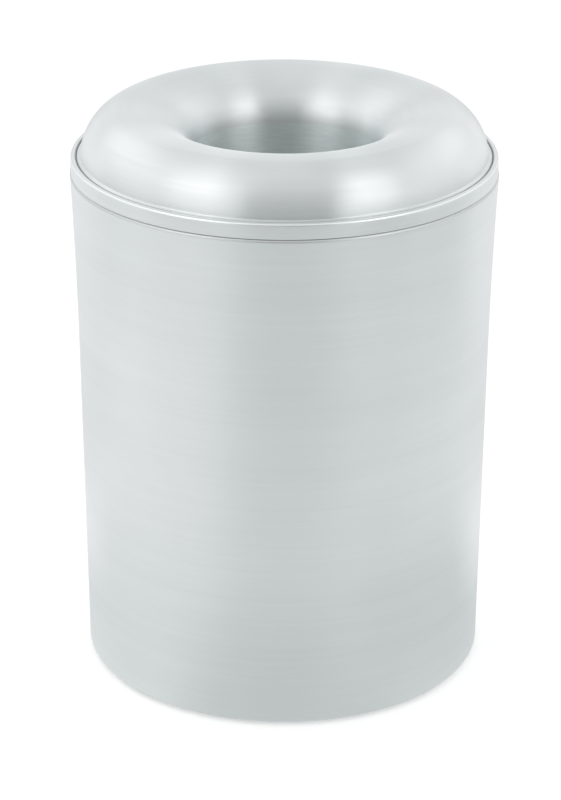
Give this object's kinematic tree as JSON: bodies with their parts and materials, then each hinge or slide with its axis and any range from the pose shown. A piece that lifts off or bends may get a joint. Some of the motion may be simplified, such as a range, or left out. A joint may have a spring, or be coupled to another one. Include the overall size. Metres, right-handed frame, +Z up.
{
  "type": "wastepaper bin",
  "caption": "Round spun aluminium wastepaper bin with a lift-off flame-smothering domed head and a narrow central throat.",
  "frame": {"origin": "on the bin's axis, level with the undersides of its rubber feet", "axes": "+Z up along the bin's axis; the bin is round, so +X and +Y only place its feet, which lie on the diagonals"},
  "size_m": [0.2612, 0.2612, 0.3563],
  "materials": {
    "spun_aluminium": "satin, brushed round the axis",
    "sheet_aluminium": "mill finish",
    "zinc_steel": "zinc plated",
    "black_rubber": "matt",
    "grey_silicone": "matt"
  },
  "bodies": {
    "body": {"body_wall": "spun_aluminium", "rim_wire": "zinc_steel", "base_pan": "sheet_aluminium", "foot_front_left": "black_rubber", "foot_front_right": "black_rubber", "foot_rear_left": "black_rubber", "foot_rear_right": "black_rubber", "foot_washers": "zinc_steel", "foot_rivets": "sheet_aluminium"},
    "seal": {"seat_seal": "grey_silicone"},
    "head": {"head_cover": "spun_aluminium", "rim_band": "spun_aluminium", "band_rivets": "sheet_aluminium"}
  },
  "joints": [
    {"name": "head_lift", "type": "slide", "parent": "body", "child": "seal", "axis": [0, 0, 1], "range_m": [0, 0.1]},
    {"name": "head_turn", "type": "hinge", "parent": "seal", "child": "head", "pos_m": [0, 0, 0.32], "axis": [0, 0, 1], "continuous": true}
  ]
}
